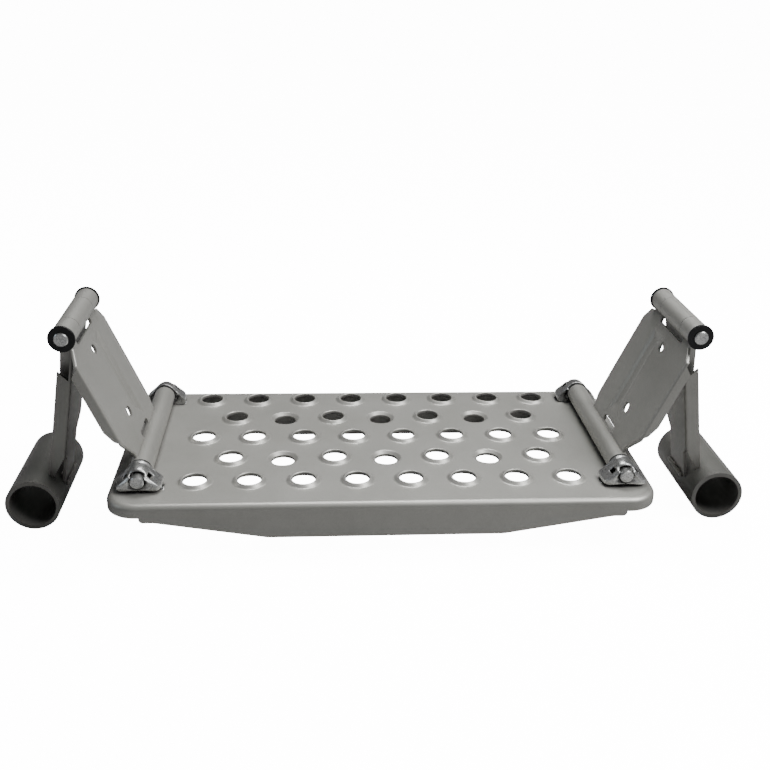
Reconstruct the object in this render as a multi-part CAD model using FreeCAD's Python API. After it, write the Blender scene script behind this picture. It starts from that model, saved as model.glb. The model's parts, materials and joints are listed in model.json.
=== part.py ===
import FreeCAD, Part
import math
import os

# Tailgate step: a pressed, perforated deck hung between two folding arms.
# Each arm is an inner link hinged to the deck and an outer bracket hinged to
# the link, and the bracket carries the tube that slides onto a vehicle's pin.
# Frame: origin under the middle of the step on the ground plane, +X along the
# step, +Y towards the vehicle, +Z up. Millimetres.

V = FreeCAD.Vector
X_AXIS, Y_AXIS, Z_AXIS = V(1, 0, 0), V(0, 1, 0), V(0, 0, 1)

# ---- driving dimensions -------------------------------------------------
# deck
DECK_LENGTH = 512.0
DECK_DEPTH = 249.0
DECK_TOP = 51.0
SHEET = 3.0
PLAN_RADIUS = 29.0
EDGE_RADIUS = 6.0
SIDE_SKIRT_BOTTOM = 39.0
FRONT_SHOULDER = 34.0
REAR_SHOULDER = 12.0
REAR_HEM = 4.1
HEM_HALF = 103.0
FRONT_SKIRT_BOTTOM = 17.0
REAR_SKIRT_BOTTOM = 0.0
SKIRT_FLAT_HALF = 109.0
SKIRT_SLOPE_HALF = 211.0
SKIRT_END_HALF = 224.0

# perforation: five staggered rows
HOLE_PITCH = 50.8
ROW_PITCH = 45.1
PATTERN_Y = 10.5
SHORT_ROW_SHIFT = 4.9
HOLE_R = 11.1
RING_R = 17.5
COLLAR_R = 16.2
COLLAR_RISE = 4.4
COLLAR_HOLLOW_R = 14.8
COLLAR_HOLLOW_RISE = 2.7

# hinge tubes, pins and bushes
BARREL_R = 10.65
BARREL_BORE_R = 8.0
PIN_R = 6.35
PIN_CHAMFER = 0.8
PRESS_R = 6.35
RUNNING_CLEARANCE = 0.05
END_GAP = 0.5
BUSH_LENGTH = 14.0
BUSH_FLANGE = 2.0
DECK_BUSH_FLANGE_R = 11.3
TOP_BUSH_FLANGE_R = 12.0

# deck hinge, one at each end of the step
DECK_HINGE_X = 227.0
DECK_HINGE_Z = 63.0
BARREL_FRONT = -77.5
BARREL_BACK = 88.5
EAR_DEPTH = 21.5
DECK_PIN_FRONT = -102.8
DECK_PIN_BACK = 113.5

# top hinge, between link and bracket
TOP_HINGE_X = 283.3
TOP_HINGE_Z = 196.5
TOP_HINGE_Y = -31.5
MIDDLE_KNUCKLE = 55.0
OUTER_KNUCKLE = 25.0
PIN_STAND_OUT = 2.0

# pressed plate of link and bracket
PLATE = 2.8
BEND_R = 2.4
CORNER_R = 2.4
LINK_FRONT = -89.5
LINK_BACK = 39.0
LINK_FLANGE = 10.0
LINK_LOW_HOLE_R = 5.4
LINK_HIGH_HOLE_R = 4.8
GROOVE_DEPTH = 3.0
GROOVE_STEPS = 6
BRACKET_FRONT = -56.5
BRACKET_BACK = 8.5
BRACKET_LEAN = -9.7
NECK_RECESS = 13.0
WEB_OFFSET = 5.8
BRACKET_FLANGE = 13.6

# mounting tube
TUBE_X = 330.0
TUBE_R = 25.4
TUBE_WALL = 4.0
TUBE_FRONT = -76.0
TUBE_LENGTH = 105.0

# hinge ear
EAR_HALF = 21.5
EAR_SHEET = 3.0
EAR_ARCH_R = 11.2
EAR_SLOPE = 45.0
EAR_LIP = 0.8
EAR_RIM = 2.6
TAB_WIDTH = 9.0
TAB_FIT = 0.15

WELD_R = 2.6

# ---- worked-out sizes ---------------------------------------------------
LINK_LENGTH = math.hypot(TOP_HINGE_X - DECK_HINGE_X, TOP_HINGE_Z - DECK_HINGE_Z)
LINK_LEAN = math.degrees(math.atan2(TOP_HINGE_X - DECK_HINGE_X,
                                    TOP_HINGE_Z - DECK_HINGE_Z))
MIDDLE_FRONT = TOP_HINGE_Y - MIDDLE_KNUCKLE / 2
MIDDLE_BACK = TOP_HINGE_Y + MIDDLE_KNUCKLE / 2
OUTER_FRONT = MIDDLE_FRONT - END_GAP - OUTER_KNUCKLE
OUTER_BACK = MIDDLE_BACK + END_GAP + OUTER_KNUCKLE
HINGE_RISE = DECK_HINGE_Z - DECK_TOP


# ---- small helpers ------------------------------------------------------
def polygon(points):
    """Face in the plane of the points, with straight sides."""
    return Part.Face(Part.makePolygon(points + [points[0]]))


def extrude_y(points_xz, y_low, y_high):
    """Prism along Y over an outline given as (x, z)."""
    face = polygon([V(x, y_low, z) for x, z in points_xz])
    return face.extrude(V(0, y_high - y_low, 0))


def extrude_x(points_yz, x_low, x_high):
    """Prism along X over an outline given as (y, z)."""
    face = polygon([V(x_low, y, z) for y, z in points_yz])
    return face.extrude(V(x_high - x_low, 0, 0))


def box(x, y, z):
    """Box over three (low, high) ranges."""
    return Part.makeBox(x[1] - x[0], y[1] - y[0], z[1] - z[0], V(x[0], y[0], z[0]))


def rod(radius, y_low, y_high, x=0.0, z=0.0):
    """Cylinder along Y."""
    return Part.makeCylinder(radius, y_high - y_low, V(x, y_low, z), Y_AXIS)


def rounded_outline(corners):
    """Closed edges through corners given as (point, radius)."""
    joints = []
    for i, (corner, radius) in enumerate(corners):
        before = (corners[i - 1][0] - corner).normalize()
        after = (corners[(i + 1) % len(corners)][0] - corner).normalize()
        if radius == 0:
            joints.append((corner, None, corner))
            continue
        half_turn = (math.pi - before.getAngle(after)) / 2
        run = radius * math.tan(half_turn)
        towards = (before + after).normalize()
        middle = corner + towards * (radius / math.cos(half_turn) - radius)
        joints.append((corner + before * run, middle, corner + after * run))
    edges = []
    for i, (start, middle, end) in enumerate(joints):
        if middle is not None:
            edges.append(Part.Arc(start, middle, end).toShape())
        edges.append(Part.LineSegment(end, joints[(i + 1) % len(joints)][0]).toShape())
    return edges


def sleeve(outer, inner, y_low, y_high):
    """Tube along Y about the origin axis."""
    return rod(outer, y_low, y_high).cut(rod(inner, y_low - 1, y_high + 1))


def edges_along(shape, direction, test):
    """Straight edges parallel to a direction whose middle passes a test."""
    found = []
    for edge in shape.Edges:
        if not isinstance(edge.Curve, Part.Line):
            continue
        if abs(abs(edge.tangentAt(edge.FirstParameter).dot(direction)) - 1) > 1e-6:
            continue
        if test(edge.CenterOfMass):
            found.append(edge)
    return found


def place(shape, lean, x, z):
    """Turn a shape from its local frame about Y and move its hinge to (x, z)."""
    out = shape.copy()
    out.rotate(V(0, 0, 0), Y_AXIS, lean)
    out.translate(V(x, 0, z))
    return out


def on_side(shape, side):
    """Right-hand shape as it is, or mirrored for the left."""
    return shape if side == "right" else shape.mirror(V(0, 0, 0), X_AXIS)


def chamfered_pin(y_low, y_high):
    """Round pin with a small chamfer at both ends."""
    profile = [V(0, y_low, 0), V(PIN_R - PIN_CHAMFER, y_low, 0),
               V(PIN_R, y_low + PIN_CHAMFER, 0), V(PIN_R, y_high - PIN_CHAMFER, 0),
               V(PIN_R - PIN_CHAMFER, y_high, 0), V(0, y_high, 0)]
    return polygon(profile).revolve(V(0, 0, 0), Y_AXIS, 360)


def flanged_bush(face_y, outward, flange_r):
    """Nylon bush in a barrel whose end face is at face_y, flange outside it."""
    body_end = face_y - outward * BUSH_LENGTH
    flange_end = face_y + outward * BUSH_FLANGE
    bore = PIN_R + RUNNING_CLEARANCE
    body = rod(BARREL_BORE_R, min(face_y, body_end), max(face_y, body_end))
    flange = rod(flange_r, min(face_y, flange_end), max(face_y, flange_end))
    edge_y = flange_end
    rim = [e for e in flange.Edges
           if isinstance(e.Curve, Part.Circle) and abs(e.Curve.Center.y - edge_y) < 1e-6]
    flange = flange.makeFillet(0.5, rim)
    ends = sorted((body_end, flange_end))
    return body.fuse(flange).removeSplitter().cut(rod(bore, ends[0] - 1, ends[1] + 1))


# ---- deck ---------------------------------------------------------------
def rounded_block(inset, top, edge_radius):
    """Rounded rectangle in plan, down to the ground, with a rounded top edge."""
    half_x = DECK_LENGTH / 2 - inset
    half_y = DECK_DEPTH / 2 - inset
    block = box((-half_x, half_x), (-half_y, half_y), (-1.0, top))
    block = block.makeFillet(PLAN_RADIUS - inset, edges_along(block, Z_AXIS, lambda c: True))
    rim = [e for e in block.Edges
           if e.BoundBox.ZMin > top - 1e-3 and e.BoundBox.ZMax < top + 1e-3]
    return block.makeFillet(edge_radius, rim)


def skirt_keep(bottom, shoulder, y_low, y_high):
    """What stays of the front or rear skirt below the side skirt's line."""
    top = SIDE_SKIRT_BOTTOM + 2
    right = [(SKIRT_FLAT_HALF, bottom), (SKIRT_SLOPE_HALF, shoulder),
             (SKIRT_END_HALF, shoulder), (SKIRT_END_HALF, top)]
    left = [(-x, z) for x, z in reversed(right)]
    solid = extrude_y(right + left, y_low, y_high)
    long_bends = edges_along(solid, Y_AXIS, lambda c: abs(c.z - bottom) < 1e-3
                             or abs(abs(c.x) - SKIRT_SLOPE_HALF) < 1e-3)
    solid = solid.makeFillet(25.0, long_bends)
    ends = edges_along(solid, Y_AXIS, lambda c: abs(abs(c.x) - SKIRT_END_HALF) < 1e-3
                       and c.z < top - 1)
    return solid.makeFillet(4.0, ends)


def hole_ring(raised):
    """Ring of sheet around one hole, pressed up into a collar or down into a dimple."""
    low, high = DECK_TOP - SHEET, DECK_TOP

    def at(r, z):
        return V(r, 0, z if raised else low + high - z)

    corners = [(at(RING_R, high), 0), (at(COLLAR_R, high), 3.0),
               (at(HOLE_R, high + COLLAR_RISE), 1.3),
               (at(HOLE_R, low + COLLAR_HOLLOW_RISE), 0.4),
               (at(COLLAR_HOLLOW_R, low), 2.5), (at(RING_R, low), 0)]
    return Part.Face(Part.Wire(rounded_outline(corners))).revolve(V(0, 0, 0), Z_AXIS, 360)


def hole_places():
    """(x, y, raised) of each hole; every other hole of a short row is a dimple."""
    places = []
    for row in range(5):
        y = PATTERN_Y + (2 - row) * ROW_PITCH
        long_row = row % 2 == 0
        for i in range(8 if long_row else 7):
            if long_row:
                places.append(((i - 3.5) * HOLE_PITCH, y, True))
            else:
                places.append(((i - 3) * HOLE_PITCH + SHORT_ROW_SHIFT, y, i % 2 == 0))
    return places


def ear_tab_boxes(grow):
    """The two tabs under an ear at local x = 0, y from 0 to the ear's depth."""
    tabs = []
    for sign in (1, -1):
        outer = sign * (EAR_HALF + grow)
        inner = sign * (EAR_HALF - EAR_SHEET - grow)
        tabs.append(box((min(outer, inner), max(outer, inner)),
                        (4.0 - grow, 4.0 + TAB_WIDTH + grow),
                        (DECK_TOP - SHEET - 2.0 - grow, DECK_TOP + 0.01)))
    return tabs


def ear_positions():
    """Name, x and y transform of each ear: front ears face -Y, rear ears +Y."""
    front = BARREL_FRONT - BUSH_FLANGE - END_GAP
    back = BARREL_BACK + BUSH_FLANGE + END_GAP
    out = []
    for side, x in (("right", DECK_HINGE_X), ("left", -DECK_HINGE_X)):
        out.append((side + "_front_ear", x, front, -1))
        out.append((side + "_rear_ear", x, back, 1))
    return out


def put_ear(shape, x, y, facing):
    """Move an ear from its local frame, where its open side is at y = 0."""
    out = shape if facing == 1 else shape.mirror(V(0, 0, 0), Y_AXIS)
    out = out.copy()
    out.translate(V(x, y, 0))
    return out


def make_deck():
    outer = rounded_block(0.0, DECK_TOP, EDGE_RADIUS)
    inner = rounded_block(SHEET, DECK_TOP - SHEET, EDGE_RADIUS - SHEET)
    pan = outer.cut(inner)
    half_y = DECK_DEPTH / 2
    half_x = DECK_LENGTH / 2
    keep = box((-half_x - 1, half_x + 1), (-half_y - 1, half_y + 1),
               (SIDE_SKIRT_BOTTOM, DECK_TOP + 1))
    band = PLAN_RADIUS + 4
    front = skirt_keep(FRONT_SKIRT_BOTTOM, FRONT_SHOULDER, -half_y - 1, -half_y + band)
    rear = skirt_keep(REAR_SKIRT_BOTTOM, REAR_SHOULDER, half_y - band, half_y + 1)
    pan = pan.common(keep.fuse([front, rear]))
    places = hole_places()
    blanks, rings = [], []
    patterns = {True: hole_ring(True), False: hole_ring(False)}
    for x, y, raised in places:
        blanks.append(Part.makeCylinder(RING_R, SHEET + 4, V(x, y, DECK_TOP - SHEET - 2)))
        ring = patterns[raised].copy()
        ring.translate(V(x, y, 0))
        rings.append(ring)
    slots = []
    for name, x, y, facing in ear_positions():
        for tab in ear_tab_boxes(TAB_FIT):
            slots.append(put_ear(tab, x, y, facing))
    pan = pan.cut(blanks + slots)
    # turned-in hem along the deep middle of the rear skirt
    hem = box((-HEM_HALF, HEM_HALF), (half_y - SHEET - REAR_HEM, half_y - SHEET + 0.5),
              (REAR_SKIRT_BOTTOM, REAR_SKIRT_BOTTOM + SHEET))
    return pan.fuse(rings + [hem]).removeSplitter()


# ---- hinge ear ----------------------------------------------------------
def ear_profile(grow):
    """Bell-shaped outline in XZ, inside the ear's outer outline by -grow."""
    arch = EAR_ARCH_R + grow
    half = EAR_HALF + grow
    knee_x = arch * math.cos(math.radians(30))
    knee_z = HINGE_RISE + arch * math.sin(math.radians(30))
    foot_z = 7.0
    foot_x = knee_x + (knee_z - foot_z) * math.tan(math.radians(EAR_SLOPE))
    z0 = DECK_TOP

    def at(x, z):
        return V(x, 0, z0 + z)

    bend = 0.7 * half + 0.3 * foot_x
    edges = [
        Part.LineSegment(at(-half, 0), at(half, 0)),
        Part.LineSegment(at(half, 0), at(half, 2.0)),
        Part.Arc(at(half, 2.0), at(bend, 4.8), at(foot_x, foot_z)),
        Part.LineSegment(at(foot_x, foot_z), at(knee_x, knee_z)),
        Part.Arc(at(knee_x, knee_z), at(0, HINGE_RISE + arch), at(-knee_x, knee_z)),
        Part.LineSegment(at(-knee_x, knee_z), at(-foot_x, foot_z)),
        Part.Arc(at(-foot_x, foot_z), at(-bend, 4.8), at(-half, 2.0)),
        Part.LineSegment(at(-half, 2.0), at(-half, 0)),
    ]
    return Part.Face(Part.Wire([e.toShape() for e in edges]))


def make_ear():
    """Stamped saddle: an arch open to the barrel, walled on its far side."""
    outside = ear_profile(0).extrude(V(0, EAR_DEPTH, 0))
    hollow = ear_profile(-EAR_SHEET).extrude(V(0, EAR_DEPTH - EAR_SHEET, 0))
    hollow.translate(V(0, -0.001, 0))
    ear = outside.cut(hollow)
    # raised rim of the arch towards the barrel
    arch = rod(EAR_ARCH_R + EAR_LIP, 0, EAR_RIM, 0, DECK_HINGE_Z)
    arch = arch.cut(rod(EAR_ARCH_R - 1, -1, EAR_RIM + 1, 0, DECK_HINGE_Z))
    above = box((-30, 30), (-1, EAR_RIM + 1), (DECK_HINGE_Z + 3, DECK_HINGE_Z + 30))
    ear = ear.fuse(arch.common(above)).removeSplitter()
    # window over the pin, open through the far wall, with rounded lobes below
    wall_low = EAR_DEPTH - EAR_SHEET - 0.5
    window = rod(EAR_ARCH_R - EAR_SHEET, wall_low, EAR_DEPTH + 1, 0, DECK_HINGE_Z)
    window = window.common(box((-30, 30), (wall_low, EAR_DEPTH + 1),
                               (DECK_HINGE_Z + 4.0, DECK_HINGE_Z + 20)))
    notch = box((-PRESS_R, PRESS_R), (wall_low, EAR_DEPTH + 1),
                (DECK_HINGE_Z, DECK_HINGE_Z + 6))
    seat = rod(PRESS_R, wall_low, EAR_DEPTH + 1, 0, DECK_HINGE_Z)
    slit = box((-0.6, 0.6), (wall_low, EAR_DEPTH + 1), (DECK_TOP - 1, DECK_HINGE_Z))
    tools = [window, notch, seat, slit]
    for sign in (1, -1):
        # slot in each shoulder, and the wall trimmed clear of the deck
        near, far = sorted((sign * 11.0, sign * 20.0))
        tools.append(box((near, far), (9.5, 16.5), (DECK_TOP + 9.0, DECK_TOP + 15.0)))
        near, far = sorted((sign * 3.0, sign * 15.0))
        tools.append(box((near, far), (wall_low, EAR_DEPTH + 1),
                         (DECK_TOP - 1, DECK_TOP + 1.2)))
    ear = ear.cut(tools)
    return ear.fuse(ear_tab_boxes(0.0)).removeSplitter()


# ---- inner link, in its own frame: hinge axis on Y, +Z to the top hinge ---
def link_groove(x_base):
    """Pressed groove with flared ends, GROOVE_DEPTH deep from the plane x_base."""
    top = LINK_LENGTH - 23.0
    rim = [(2.5, 22.0), (2.5, top), (-32.0, top), (-19.0, top - 14.0), (-19.0, 38.0),
           (-34.0, 24.0)]
    floor = [(-3.0, 34.0), (-3.0, top - 12.0), (-7.0, top - 13.5), (-9.0, top - 16.0),
             (-9.0, 41.0), (-7.0, 37.5)]
    rings = []
    for i in range(GROOVE_STEPS + 1):
        t = i / GROOVE_STEPS
        depth = GROOVE_DEPTH * t * t * (3 - 2 * t)
        points = [V(x_base + depth, y0 + (y1 - y0) * t, z0 + (z1 - z0) * t)
                  for (y0, z0), (y1, z1) in zip(rim, floor)]
        rings.append(Part.makePolygon(points + [points[0]]))
    return Part.makeLoft(rings, True, True)


def make_link_plate():
    half = PLATE / 2
    reach = LINK_LENGTH
    knuckle_front = OUTER_FRONT + 7.0
    outline = [(-71.5, 8.0), (-71.5, 14.0), (-80.5, 24.0), (LINK_FRONT, 34.0),
               (LINK_FRONT, reach - 26.0), (knuckle_front, reach - 15.0),
               (knuckle_front, reach - 8.0), (MIDDLE_FRONT - 2.5, reach - 8.0),
               (MIDDLE_FRONT - 2.5, reach - 17.0), (MIDDLE_BACK + 2.5, reach - 17.0),
               (MIDDLE_BACK + 2.5, reach - 8.0), (OUTER_BACK - 0.5, reach - 8.0),
               (OUTER_BACK - 0.5, reach - 13.0), (OUTER_BACK + 7.5, reach - 13.5),
               (LINK_BACK - 1.5, reach - 26.0),
               (LINK_BACK, 60.0), (LINK_BACK, 24.0), (34.5, 14.0), (34.5, 8.0)]
    plate = extrude_x(outline, -half, half)
    corners = edges_along(plate, X_AXIS, lambda c: c.z > 9 and c.z < reach - 9)
    plate = plate.makeFillet(CORNER_R, corners)
    # stiffening groove: sunk from the inner face, standing out of the outer one
    plate = plate.fuse(link_groove(half)).cut(link_groove(-half))
    # flange along the front edge, turned outboard
    flange_low, flange_high = 38.0, reach - 27.0
    flange = polygon([V(-half, LINK_FRONT, flange_low - 4),
                      V(LINK_FLANGE * 0.45, LINK_FRONT, flange_low + 2),
                      V(LINK_FLANGE - half, LINK_FRONT, flange_low + 14),
                      V(LINK_FLANGE - half, LINK_FRONT, flange_high - 8),
                      V(-half, LINK_FRONT, flange_high)])
    flange = flange.extrude(V(0, PLATE, 0))
    plate = plate.fuse(flange).removeSplitter()
    bend = edges_along(plate, Z_AXIS, lambda c: abs(c.x + half) < 1e-3
                       and abs(c.y - LINK_FRONT) < 1e-3)
    plate = plate.makeFillet(BEND_R, bend)
    # two round holes, and the slot beside the deck barrel
    cuts = [Part.makeCylinder(r, 40, V(-20, TOP_HINGE_Y, z), X_AXIS)
            for r, z in ((LINK_LOW_HOLE_R, 41.5), (LINK_HIGH_HOLE_R, reach - 34.0))]
    slot_r = 3.6
    slot_ends = (-30.0, -3.0)
    slot_z = BARREL_R + slot_r + 0.4
    for y in slot_ends:
        cuts.append(Part.makeCylinder(slot_r, 40, V(-20, y, slot_z), X_AXIS))
    cuts.append(box((-20, 20), slot_ends, (slot_z - slot_r, slot_z + slot_r)))
    # coped to the barrel and the two knuckles
    cuts.append(rod(BARREL_R, -100, 100))
    cuts.append(rod(BARREL_R, -120, 120, 0, reach))
    return plate.cut(cuts)


def weld_fillet(y_low, y_high, x, z, others):
    """Rounded weld bead along Y, trimmed to the metal that it joins."""
    bead = rod(WELD_R, y_low, y_high, x, z)
    ends = [e for e in bead.Edges if isinstance(e.Curve, Part.Circle)]
    bead = bead.makeFillet(WELD_R * 0.6, ends)
    return bead.cut(others)


def make_link_welds(plate, barrel, knuckles):
    """Beads on the outboard face, in the corners between plate and tubes."""
    corner = math.sqrt(BARREL_R ** 2 - (PLATE / 2) ** 2)
    x = PLATE / 2 + 0.8
    beads = [weld_fillet(-66, -36, x, corner + 0.6, [plate, barrel]),
             weld_fillet(4, 34, x, corner + 0.6, [plate, barrel]),
             weld_fillet(OUTER_FRONT + 8, MIDDLE_FRONT - 4, x,
                         LINK_LENGTH - corner - 0.6, [plate] + knuckles),
             weld_fillet(MIDDLE_BACK + 4, OUTER_BACK - 1, x,
                         LINK_LENGTH - corner - 0.6, [plate] + knuckles)]
    return Part.makeCompound([s for b in beads for s in b.Solids])


def make_link():
    """Sub-parts of the right link in its own frame."""
    barrel = sleeve(BARREL_R, BARREL_BORE_R, BARREL_FRONT, BARREL_BACK)
    front = sleeve(BARREL_R, BARREL_BORE_R, OUTER_FRONT, OUTER_FRONT + OUTER_KNUCKLE)
    back = sleeve(BARREL_R, BARREL_BORE_R, OUTER_BACK - OUTER_KNUCKLE, OUTER_BACK)
    for knuckle in (front, back):
        knuckle.translate(V(0, 0, LINK_LENGTH))
    plate = make_link_plate()
    deck_bushes = [flanged_bush(BARREL_FRONT, -1, DECK_BUSH_FLANGE_R),
                   flanged_bush(BARREL_BACK, 1, DECK_BUSH_FLANGE_R)]
    top_bushes = [flanged_bush(OUTER_FRONT, -1, TOP_BUSH_FLANGE_R),
                  flanged_bush(OUTER_BACK, 1, TOP_BUSH_FLANGE_R)]
    for bush in top_bushes:
        bush.translate(V(0, 0, LINK_LENGTH))
    return {"link_plate": plate, "deck_barrel": barrel,
            "front_knuckle": front, "back_knuckle": back,
            "deck_bushes": Part.makeCompound(deck_bushes),
            "top_bushes": Part.makeCompound(top_bushes),
            "link_welds": make_link_welds(plate, barrel, [front, back])}


# ---- outer bracket, in its own frame: top hinge on Y, hanging along -Z ----
def tube_centre_local():
    """Tube axis in the bracket's frame, as (x, z)."""
    lean = math.radians(BRACKET_LEAN)
    dx, dz = TUBE_X - TOP_HINGE_X, TUBE_R - TOP_HINGE_Z
    return dx * math.cos(lean) - dz * math.sin(lean), dx * math.sin(lean) + dz * math.cos(lean)


def make_bracket_channel():
    inner = -WEB_OFFSET
    tip = BRACKET_FLANGE - WEB_OFFSET
    tube_x, tube_z = tube_centre_local()
    bottom = tube_z + TUBE_R * 0.35
    front, back = BRACKET_FRONT, BRACKET_BACK
    neck_back = MIDDLE_BACK - 0.5
    web = extrude_x([(front, -4), (front, -129.7), (front + 8, -137), (front + 8, bottom),
                     (back - 18, bottom), (back - 18, -124), (back, -110), (back, -42),
                     (neck_back, -31), (neck_back, -4)], inner, inner + PLATE)
    foot = bottom + 10.0
    front_flange = [(inner, -54.6), (tip, -45.5), (tip, foot), (tip - 3.0, foot),
                    (inner, -129.7)]
    back_flange = [(inner, -42.0), (tip, -42.0), (tip, foot), (tip - 4.0, foot), (inner, -110.0)]
    neck = [(inner, -6.0), (tip - 3.0, -6.0), (tip, -31.0), (tip, -40.0), (inner, -40.0)]
    shoulder = 4.5
    # the front of the neck slopes back as it goes down, behind the flange's top edge
    throat = [(front, -4), (front, -14), (front + NECK_RECESS, -62),
              (front + NECK_RECESS + PLATE, -62), (front + 1.3 * PLATE, -4)]
    solids = [extrude_x(throat, inner, tip - 0.8),
              extrude_y(front_flange, front, front + PLATE),
              extrude_y(back_flange, back - PLATE, back),
              extrude_y(neck, neck_back - PLATE, neck_back),
              extrude_x([(neck_back, -31), (back, -42), (back, -42 - shoulder),
                         (neck_back - PLATE, -31 - shoulder)], inner, tip)]
    channel = web.fuse(solids).removeSplitter()
    bends = edges_along(channel, Z_AXIS, lambda c: abs(c.x - inner) < 1e-3
                        and (abs(c.y - front) < 1e-3 or abs(c.y - back) < 1e-3)
                        and -110 < c.z < -60)
    channel = channel.makeFillet(BEND_R, bends)
    return channel.cut([rod(TUBE_R, -120, 60, tube_x, tube_z), rod(BARREL_R, -120, 60)])


def make_bracket_welds(channel, tube, knuckle):
    """Beads where the web and the flanges stand on the tube and the knuckle."""
    tube_x, tube_z = tube_centre_local()
    low_x = -WEB_OFFSET - 0.6
    low_z = tube_z + math.sqrt(TUBE_R ** 2 - (tube_x - low_x) ** 2) + 0.3
    front, back = BRACKET_FRONT + 14, BRACKET_BACK - 14
    beads = [weld_fillet(front, back, low_x, low_z, [channel, tube])]
    in_x = -WEB_OFFSET + PLATE + 0.8
    in_z = tube_z + math.sqrt(TUBE_R ** 2 - (tube_x - in_x) ** 2) + 0.3
    beads.append(weld_fillet(front, back, in_x, in_z, [channel, tube]))
    neck_z = -math.sqrt(BARREL_R ** 2 - (WEB_OFFSET - PLATE) ** 2) - 0.5
    beads.append(weld_fillet(MIDDLE_FRONT + 8, MIDDLE_BACK - 8, -WEB_OFFSET + PLATE + 0.9,
                             neck_z, [channel, knuckle]))
    return Part.makeCompound([s for b in beads for s in b.Solids])


def make_bracket():
    """Sub-parts of the right bracket in its own frame."""
    tube_x, tube_z = tube_centre_local()
    tube = sleeve(TUBE_R, TUBE_R - TUBE_WALL, TUBE_FRONT, TUBE_FRONT + TUBE_LENGTH)
    tube.translate(V(tube_x, 0, tube_z))
    knuckle = sleeve(BARREL_R, PRESS_R, MIDDLE_FRONT, MIDDLE_BACK)
    pin = chamfered_pin(OUTER_FRONT - BUSH_FLANGE - PIN_STAND_OUT,
                        OUTER_BACK + BUSH_FLANGE + PIN_STAND_OUT)
    channel = make_bracket_channel()
    return {"bracket_channel": channel, "middle_knuckle": knuckle,
            "top_pin": pin, "mounting_tube": tube,
            "bracket_welds": make_bracket_welds(channel, tube, knuckle)}


# ---- the whole step -----------------------------------------------------
def export(shape, name):
    if not shape.isValid():
        print("not valid:", name)
    shape.exportStep("parts/" + name + ".step")
    print("%-24s solids %d volume %.1f cm3" % (name, len(shape.Solids), shape.Volume / 1000))


def main():
    os.makedirs("parts", exist_ok=True)
    export(make_deck(), "step_deck")
    ear = make_ear()
    for name, x, y, facing in ear_positions():
        export(put_ear(ear, x, y, facing), name)
    deck_pin = chamfered_pin(DECK_PIN_FRONT, DECK_PIN_BACK)
    deck_pin.translate(V(DECK_HINGE_X, 0, DECK_HINGE_Z))
    link, bracket = make_link(), make_bracket()
    for side in ("right", "left"):
        export(on_side(deck_pin, side), side + "_deck_pin")
        for name, shape in link.items():
            placed = place(shape, LINK_LEAN, DECK_HINGE_X, DECK_HINGE_Z)
            export(on_side(placed, side), side + "_" + name)
        for name, shape in bracket.items():
            placed = place(shape, BRACKET_LEAN, TOP_HINGE_X, TOP_HINGE_Z)
            export(on_side(placed, side), side + "_" + name)


main()
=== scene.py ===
import bpy
import json
import math
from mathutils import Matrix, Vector


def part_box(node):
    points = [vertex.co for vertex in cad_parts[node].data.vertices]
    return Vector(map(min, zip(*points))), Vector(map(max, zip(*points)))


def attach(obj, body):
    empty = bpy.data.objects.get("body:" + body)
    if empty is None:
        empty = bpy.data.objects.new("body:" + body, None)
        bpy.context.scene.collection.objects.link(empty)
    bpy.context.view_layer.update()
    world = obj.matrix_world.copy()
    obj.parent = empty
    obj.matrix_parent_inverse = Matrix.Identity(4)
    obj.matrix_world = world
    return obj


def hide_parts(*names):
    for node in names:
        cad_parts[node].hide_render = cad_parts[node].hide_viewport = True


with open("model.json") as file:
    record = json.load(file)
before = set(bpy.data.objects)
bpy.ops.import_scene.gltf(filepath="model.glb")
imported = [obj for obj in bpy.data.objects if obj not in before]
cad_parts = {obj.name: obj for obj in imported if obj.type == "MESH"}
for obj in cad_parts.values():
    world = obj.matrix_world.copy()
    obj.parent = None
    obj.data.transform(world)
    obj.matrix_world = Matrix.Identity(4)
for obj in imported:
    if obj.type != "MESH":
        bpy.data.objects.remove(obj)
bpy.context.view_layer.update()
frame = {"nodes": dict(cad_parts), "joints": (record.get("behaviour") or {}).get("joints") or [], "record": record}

# ---- camera, at the height and angle of the reference view -----------------
CAMERA_AT = (-0.0666, -0.8946, 0.5105)
CAMERA_TURN = (66.13, -1.37, -3.95)
CAMERA_LENS = 46.006


def make_camera():
    data = bpy.data.cameras.new("camera")
    data.lens = CAMERA_LENS
    data.sensor_width = 36.0
    camera = bpy.data.objects.new("camera", data)
    camera.location = CAMERA_AT
    camera.rotation_euler = [math.radians(a) for a in CAMERA_TURN]
    bpy.context.scene.collection.objects.link(camera)
    bpy.context.scene.camera = camera


# ---- studio ----------------------------------------------------------------
BACKDROP_GLOW = 14.0
FLOOR_GLOW = 14.0
ROOM_GLOW = 0.10
FLOOR_HALF = 4.0
FLOOR_DROP = 0.0005
FLOOR_TONE = {"seen": 0.9, "unseen": 0.3}
# name, place, target, size, power, colour
LIGHTS = [("key_softbox", (0.95, -0.35, 1.45), (0.05, 0, 0.05), (0.8, 0.8), 33, (1, 1, 1)),
          ("top_softbox", (0.1, 0.5, 1.6), (0.05, 0, 0.05), (0.8, 0.6), 24, (1, 1, 1)),
          ("blue_fill", (-3.0, -0.6, 1.4), (0, 0, 0.1), (1.0, 1.0), 7, (0.8, 0.9, 1.0))]


def area_light(name, place, target, size, power, colour):
    data = bpy.data.lights.new(name, "AREA")
    data.shape = "RECTANGLE"
    data.size, data.size_y = size
    data.energy = power
    data.color = colour
    light = bpy.data.objects.new(name, data)
    light.location = place
    aim = Vector(target) - Vector(place)
    light.rotation_euler = aim.to_track_quat("-Z", "Y").to_euler()
    bpy.context.scene.collection.objects.link(light)


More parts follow.
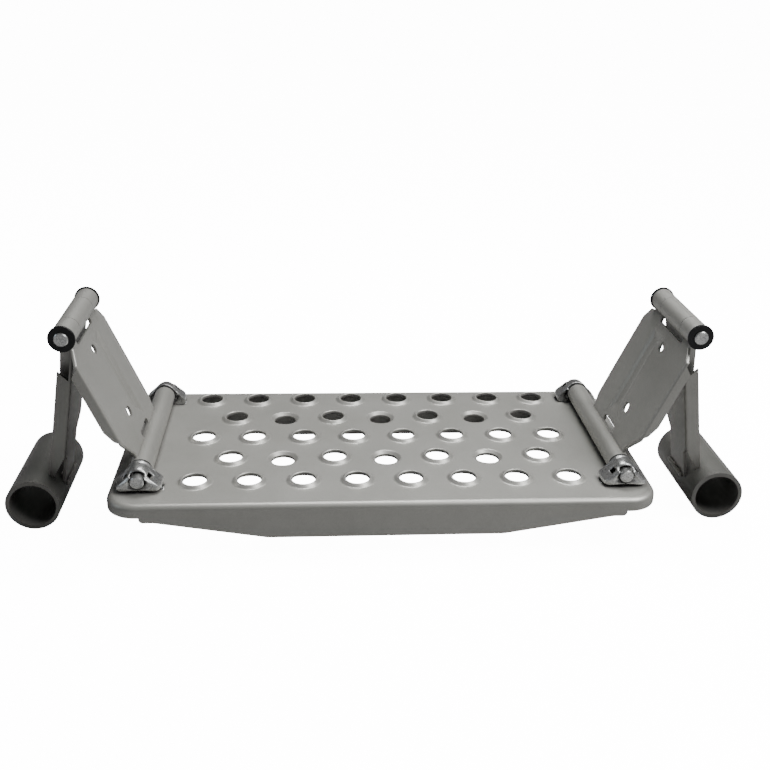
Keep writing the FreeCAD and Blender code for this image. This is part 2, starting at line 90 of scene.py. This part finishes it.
def seen_by_camera(nodes, links, seen, unseen):
    """A value that is one thing to the camera and another to the light in the room."""
    path = nodes.new("ShaderNodeLightPath")
    mix = nodes.new("ShaderNodeMix")
    mix.inputs["A"].default_value = unseen
    mix.inputs["B"].default_value = seen
    links.new(path.outputs["Is Camera Ray"], mix.inputs["Factor"])
    return mix.outputs["Result"]


def make_studio():
    world = bpy.data.worlds.new("studio")
    world.use_nodes = True
    nodes, links = world.node_tree.nodes, world.node_tree.links
    background = nodes["Background"]
    background.inputs["Color"].default_value = (1.0, 1.0, 1.0, 1.0)
    links.new(seen_by_camera(nodes, links, BACKDROP_GLOW, ROOM_GLOW), background.inputs["Strength"])
    bpy.context.scene.world = world
    for light in LIGHTS:
        area_light(*light)
    mesh = bpy.data.meshes.new("floor")
    half = FLOOR_HALF
    mesh.from_pydata([(-half, -half, 0), (half, -half, 0), (half, half, 0), (-half, half, 0)],
                     [], [(0, 1, 2, 3)])
    floor = bpy.data.objects.new("floor", mesh)
    floor.location.z = -FLOOR_DROP
    bpy.context.scene.collection.objects.link(floor)
    floor.data.materials.append(floor_material())


# ---- materials --------------------------------------------------------------
def new_material(name):
    material = bpy.data.materials.new(name)
    material.use_nodes = True
    nodes, links = material.node_tree.nodes, material.node_tree.links
    return material, nodes, links, nodes["Principled BSDF"]


def noise(nodes, links, scale, detail=4.0, rough=0.55, stretch=None):
    """Noise over object coordinates, in cycles per metre."""
    coords = nodes.new("ShaderNodeTexCoord")
    texture = nodes.new("ShaderNodeTexNoise")
    texture.inputs["Scale"].default_value = scale
    texture.inputs["Detail"].default_value = detail
    texture.inputs["Roughness"].default_value = rough
    if stretch:
        mapping = nodes.new("ShaderNodeMapping")
        mapping.inputs["Scale"].default_value = stretch
        links.new(coords.outputs["Object"], mapping.inputs["Vector"])
        links.new(mapping.outputs["Vector"], texture.inputs["Vector"])
    else:
        links.new(coords.outputs["Object"], texture.inputs["Vector"])
    return texture.outputs["Fac"]


def ramp(nodes, links, source, stops):
    node = nodes.new("ShaderNodeValToRGB")
    elements = node.color_ramp.elements
    for i, (place, value) in enumerate(stops):
        colour = (value, value, value, 1) if isinstance(value, float) else (*value, 1)
        element = elements[i] if i < 2 else elements.new(place)
        element.position, element.color = place, colour
    links.new(source, node.inputs["Fac"])
    return node.outputs["Color"]


def bump(nodes, links, height, strength, distance, under=None):
    node = nodes.new("ShaderNodeBump")
    node.inputs["Strength"].default_value = strength
    node.inputs["Distance"].default_value = distance
    links.new(height, node.inputs["Height"])
    if under is not None:
        links.new(under, node.inputs["Normal"])
    return node.outputs["Normal"]


def floor_material():
    material, nodes, links, shader = new_material("pale_floor")
    tone = seen_by_camera(nodes, links, FLOOR_TONE["seen"], FLOOR_TONE["unseen"])
    colour = nodes.new("ShaderNodeCombineColor")
    for channel in ("Red", "Green", "Blue"):
        links.new(tone, colour.inputs[channel])
    links.new(colour.outputs["Color"], shader.inputs["Base Color"])
    shader.inputs["Roughness"].default_value = 0.9
    shader.inputs["Emission Color"].default_value = (1.0, 1.0, 1.0, 1.0)
    links.new(seen_by_camera(nodes, links, FLOOR_GLOW, 0.0), shader.inputs["Emission Strength"])
    return material


def painted_corner_shade(nodes, links, colour, reach, darkest):
    """Painted shade: darkens a colour where surfaces meet, within reach metres of a corner."""
    shade = nodes.new("ShaderNodeAmbientOcclusion")
    shade.samples = 6
    shade.inputs["Distance"].default_value = reach
    painted_shade = ramp(nodes, links, shade.outputs["AO"], [(0.25, darkest), (0.8, 1.0)])
    return mixed(nodes, links, "MULTIPLY", colour, painted_shade)


def mixed(nodes, links, blend, a, b, factor=1.0):
    node = nodes.new("ShaderNodeMix")
    node.data_type = "RGBA"
    node.blend_type = blend
    node.inputs["Factor"].default_value = factor
    links.new(a, node.inputs["A"])
    links.new(b, node.inputs["B"])
    return node.outputs["Result"]


PAINT_DARK = (0.365, 0.363, 0.338)
PAINT_PALE = (0.415, 0.413, 0.388)
PAINT_METALLIC = 0.55
ZINC_DARK = (0.62, 0.63, 0.63)
ZINC_PALE = (0.80, 0.80, 0.78)
ZINC_METALLIC = 0.8
NYLON_DARK = (0.004, 0.004, 0.005)
NYLON_PALE = (0.011, 0.011, 0.012)
WELD_WAVES = 140.0


def weld_ripple(nodes, links):
    """Overlapping ripples of a weld bead along Y."""
    coords = nodes.new("ShaderNodeTexCoord")
    wave = nodes.new("ShaderNodeTexWave")
    wave.bands_direction = "Y"
    wave.inputs["Scale"].default_value = WELD_WAVES
    wave.inputs["Distortion"].default_value = 1.6
    wave.inputs["Detail"].default_value = 2.0
    wave.inputs["Detail Scale"].default_value = 1.5
    links.new(coords.outputs["Object"], wave.inputs["Vector"])
    return wave.outputs["Fac"]


def silver_paint(name="satin_silver_paint", depth=1.0, ripple=False, reach=0.006, darkest=0.55):
    """Satin silver powder coat: cloudy tone, fine metal flake, orange peel, a few scuffs.

    depth darkens the whole coat; reach and darkest shape the painted shade in its corners.
    """
    material, nodes, links, shader = new_material(name)
    cloud = noise(nodes, links, 18, 5)
    tone = ramp(nodes, links, cloud, [(0.3, PAINT_DARK), (0.7, PAINT_PALE)])
    flake = ramp(nodes, links, noise(nodes, links, 2600, 2), [(0.35, 0.86), (0.65, 1.0)])
    tone = mixed(nodes, links, "MULTIPLY", tone, flake)
    scuff = noise(nodes, links, 60, 8, 0.7, stretch=(1.0, 0.25, 1.0))
    tone = mixed(nodes, links, "MULTIPLY", tone,
                 ramp(nodes, links, scuff, [(0.66, 1.0), (0.74, 0.86)]))
    if depth != 1.0:
        shade = ramp(nodes, links, noise(nodes, links, 30, 3), [(0.3, depth * 0.9), (0.7, depth)])
        tone = mixed(nodes, links, "MULTIPLY", tone, shade)
    # painted shade in the corners of the coat
    links.new(painted_corner_shade(nodes, links, tone, reach, darkest), shader.inputs["Base Color"])
    grain = noise(nodes, links, 900, 3)
    links.new(ramp(nodes, links, grain, [(0.3, 0.38), (0.7, 0.48)]), shader.inputs["Roughness"])
    peel = bump(nodes, links, noise(nodes, links, 380, 2), 0.10, 0.0004)
    if ripple:
        peel = bump(nodes, links, weld_ripple(nodes, links), 0.9, 0.0008, peel)
    links.new(bump(nodes, links, grain, 0.05, 0.0002, peel), shader.inputs["Normal"])
    shader.inputs["Metallic"].default_value = PAINT_METALLIC
    return material


def painted_top_shade(nodes, links, darkest):
    """Painted shade: darkens faces that look up, standing in for the dark room they reflect."""
    coords = nodes.new("ShaderNodeTexCoord")
    split = nodes.new("ShaderNodeSeparateXYZ")
    links.new(coords.outputs["Normal"], split.inputs["Vector"])
    return ramp(nodes, links, split.outputs["Z"], [(0.35, 1.0), (0.8, darkest)])


def zinc():
    """Zinc plating, mottled, with painted shade on its upper faces and in its corners."""
    material, nodes, links, shader = new_material("zinc_plate")
    cloud = noise(nodes, links, 120, 4)
    tone = ramp(nodes, links, cloud, [(0.3, ZINC_DARK), (0.7, ZINC_PALE)])
    mottle = ramp(nodes, links, noise(nodes, links, 620, 4, 0.7), [(0.38, 0.62), (0.6, 1.0)])
    tone = mixed(nodes, links, "MULTIPLY", tone, mottle)
    # painted shade on upward faces, then painted shade in corners
    tone = mixed(nodes, links, "MULTIPLY", tone, painted_top_shade(nodes, links, 0.5))
    links.new(painted_corner_shade(nodes, links, tone, 0.004, 0.3), shader.inputs["Base Color"])
    links.new(ramp(nodes, links, noise(nodes, links, 400, 3), [(0.3, 0.26), (0.7, 0.38)]),
              shader.inputs["Roughness"])
    links.new(bump(nodes, links, noise(nodes, links, 160, 2), 0.05, 0.0003), shader.inputs["Normal"])
    shader.inputs["Metallic"].default_value = ZINC_METALLIC
    return material


def nylon():
    """Moulded black nylon, slightly glossy."""
    material, nodes, links, shader = new_material("black_nylon")
    links.new(ramp(nodes, links, noise(nodes, links, 300, 3),
                   [(0.3, NYLON_DARK), (0.7, NYLON_PALE)]),
              shader.inputs["Base Color"])
    links.new(bump(nodes, links, noise(nodes, links, 900, 2), 0.1, 0.0002), shader.inputs["Normal"])
    shader.inputs["Roughness"].default_value = 0.36
    shader.inputs["Specular IOR Level"].default_value = 0.35
    return material


def set_material(obj, material):
    obj.data.materials.clear()
    obj.data.materials.append(material)


# ---- shapes -----------------------------------------------------------------
MM = 0.001


def new_piece(name, verts, faces, body, slot, *nodes):
    """A smooth-shaded mesh in metres from points in millimetres, standing for CAD nodes."""
    mesh = bpy.data.meshes.new(name)
    mesh.from_pydata([Vector(v) * MM for v in verts], [], faces)
    mesh.update()
    for polygon in mesh.polygons:
        polygon.use_smooth = True
    piece = bpy.data.objects.new(name, mesh)
    bpy.context.scene.collection.objects.link(piece)
    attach(piece, body)
    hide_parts(*nodes)
    set_material(piece, finish_of[slot])
    return piece


def smooth_path(points, count):
    """Points evenly spaced along a Catmull-Rom curve through the given points."""
    dense = []
    padded = [points[0] * 2 - points[1]] + points + [points[-1] * 2 - points[-2]]
    for i in range(1, len(padded) - 2):
        a, b, c, d = padded[i - 1:i + 3]
        for k in range(12):
            t = k / 12
            dense.append(0.5 * (2 * b + (c - a) * t + (2 * a - 5 * b + 4 * c - d) * t ** 2
                                + (3 * b - 3 * c + d - a) * t ** 3))
    dense.append(points[-1])
    lengths = [0.0]
    for p, q in zip(dense, dense[1:]):
        lengths.append(lengths[-1] + (q - p).length)
    out, k = [], 0
    for i in range(count):
        want = lengths[-1] * i / (count - 1)
        while k < len(dense) - 2 and lengths[k + 1] < want:
            k += 1
        span = max(lengths[k + 1] - lengths[k], 1e-9)
        out.append(dense[k].lerp(dense[k + 1], (want - lengths[k]) / span))
    return out


def smoothstep(low, high, value):
    t = min(max((value - low) / (high - low), 0.0), 1.0)
    return t * t * (3 - 2 * t)


# ---- hinge ears, in millimetres -----------------------------------------------
# An ear is a grid: columns follow its bell-shaped outline, rows run from the rim at the
# barrel over the band to the front face beside the pin. Angles are at the pin, in degrees.
EAR_COLUMNS = 97
EAR_WALL = 1.2
PIN_HEIGHT = 12.0
PIN_ROOM = 6.9
ARCH_R = 11.2
ARCH_START = 30
BARREL_ROOM = 13.0
RIM_INSIDE_LEAST = 1.2
# (y, how far out) of the rolled rim, from its inner edge outward
RIM_ROLL = ((0.2, -0.5), (0.0, 0.2), (0.3, 0.6), (1.0, 0.9), (1.9, 0.85), (2.6, 0.5), (3.2, 0.2))
BAND_START = 4.2
BAND_ROWS = 8
FACE_ROWS = 7
FACE_SET_BACK = 1.5
FACE_BULGE = 1.3
FACE_SINK = 0.9
FACE_DIP = 0.8
SHOULDER = 3.0
SHOULDER_ABOVE_PIN = 2.6
LOBE_TOP = 36.0
HOOD_REACH = 15.5
SLIT_ROWS = (11, 14)
SLIT_DEGREES = (2, 24)
TAB = ((18.5, 21.5), (4.0, 13.0), (-5.0, 0.3))


def ear_outline():
    """Bell-shaped outline in (x, z) above the deck, from the slit round and back to it."""
    foot = [(0.7, 0.3), (8, 0.3), (14.5, 0.3), (18.2, 0.8), (20.5, 2.4), (21.2, 4.4), (20.6, 6.4),
            (18.4, 8.8), (14.0, 13.0)]
    arch = []
    for degrees in range(ARCH_START, 181 - ARCH_START, 15):
        angle = math.radians(degrees)
        arch.append((ARCH_R * math.cos(angle), PIN_HEIGHT + ARCH_R * math.sin(angle)))
    points = foot + arch + [(-x, z) for x, z in reversed(foot)]
    return smooth_path([Vector((x, 0, z)) for x, z in points], EAR_COLUMNS)


def ear_rows(point, ear_depth):
    """Points of one column, from the rolled rim over the band to the front face."""
    centre = Vector((0, 0, PIN_HEIGHT))
    inward = (centre - point).normalized()
    reach = (centre - point).length
    degrees = math.degrees(math.atan2(point.z - PIN_HEIGHT, abs(point.x)))
    arch = smoothstep(5, 35, degrees)
    face = ear_depth - FACE_SET_BACK
    front = HOOD_REACH + (face - HOOD_REACH) * (1 - smoothstep(26, 46, degrees))
    inner = max(reach - BARREL_ROOM, RIM_INSIDE_LEAST)
    rim = ((2.2, -inner), (1.0, -inner * 0.8)) + RIM_ROLL + ((BAND_START, 0.0),)
    rows = []
    for y, out in rim:
        rows.append(point - inward * out * (arch if out > 0 else 1.0) + Vector((0, y, 0)))
    above = smoothstep(LOBE_TOP - 8, LOBE_TOP + 20, degrees)
    shoulder = SHOULDER - (SHOULDER - SHOULDER_ABOVE_PIN) * above
    for k in range(1, BAND_ROWS + 1):
        turn = math.radians(90 * k / BAND_ROWS)
        out = shoulder * (1 - math.cos(turn)) ** 1.15
        y = BAND_START + (front - BAND_START) * math.sin(turn)
        rows.append(point + inward * out + Vector((0, y, 0)))
    dip = FACE_DIP * smoothstep(LOBE_TOP - 26, LOBE_TOP, degrees)
    for k in range(1, FACE_ROWS + 1):
        t = k / FACE_ROWS
        out = shoulder + (reach - shoulder - PIN_ROOM) * t
        bulge = FACE_BULGE * math.sin(math.pi * min(t * 1.15, 1.0))
        bulge -= FACE_SINK * smoothstep(0.7, 1.0, t)
        y = front + bulge - dip * (0.3 + 0.7 * t)
        rows.append(point + inward * out + Vector((0, y, 0)))
    return rows, degrees


def make_ear(node, side_x, face_y, facing, deck_top, ear_depth):
    """One stamped ear with its two tabs; facing is 1 towards +Y and -1 towards -Y."""
    columns = [ear_rows(p, ear_depth) for p in ear_outline()]
    verts, faces = [], []
    depth = len(columns[0][0])

    def place(x, y, z):
        return (side_x + x, face_y + facing * y, deck_top + z)

    for rows, degrees in columns:
        verts.extend(place(p.x, p.y, p.z) for p in rows)
    for i in range(len(columns) - 1):
        low, high = sorted((columns[i][1], columns[i + 1][1]))
        for k in range(depth - 1 if high < LOBE_TOP else depth - 1 - FACE_ROWS):
            if SLIT_ROWS[0] <= k < SLIT_ROWS[1] and SLIT_DEGREES[0] < low < SLIT_DEGREES[1]:
                continue
            a = i * depth + k
            quad = (a, a + 1, a + depth + 1, a + depth)
            faces.append(quad if facing == 1 else quad[::-1])
    for sign in (1, -1):
        base = len(verts)
        verts.extend(place(sign * x, y, z) for x in TAB[0] for y in TAB[1] for z in TAB[2])
        for corners in ((0, 1, 3, 2), (4, 6, 7, 5), (0, 4, 5, 1), (2, 3, 7, 6), (0, 2, 6, 4)):
            faces.append(tuple(base + c for c in corners))
    piece = new_piece(node + "_stamping", verts, faces, "deck", "zinc_plate", node)
    wall = piece.modifiers.new("wall", "SOLIDIFY")
    wall.thickness = EAR_WALL * MM
    wall.offset = -1.0
    return piece


def make_ears():
    """The four ears, placed and sized from the frame."""
    for side, sign in (("right", 1), ("left", -1)):
        hinge_x = sign * joint_at["right_deck_hinge"].x / MM
        deck_top = joint_at["right_deck_hinge"].z / MM - PIN_HEIGHT
        for end, facing in (("front", -1), ("rear", 1)):
            node = "%s_%s_ear" % (side, end)
            low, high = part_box(node)
            face = (high.y if facing == -1 else low.y) / MM
            make_ear(node, hinge_x, face, facing, deck_top, (high.y - low.y) / MM)


# ---- build ----------------------------------------------------------------------
make_camera()
make_studio()
finish_of = {"satin_silver_paint": silver_paint(), "zinc_plate": zinc(), "black_nylon": nylon()}
slot_of = {s["node"]: s["material_slot"] for s in frame["record"]["subparts"]}
joint_at = {j["name"]: Vector(j["pos_m"]) for j in frame["joints"]}
# The bracket and tube coats get wide, deep painted shade in their corners; they are also darker overall.
coat_of = {"welds": silver_paint("silver_paint_on_weld", ripple=True),
           "channel": silver_paint("silver_paint_bracket", depth=0.95, reach=0.022, darkest=0.2),
           "tube": silver_paint("silver_paint_tube", depth=0.5, reach=0.02, darkest=0.35)}
for name, node in frame["nodes"].items():
    last_word = name.split("_")[-1]
    set_material(node, coat_of.get(last_word, finish_of[slot_of[name]]))
make_ears()
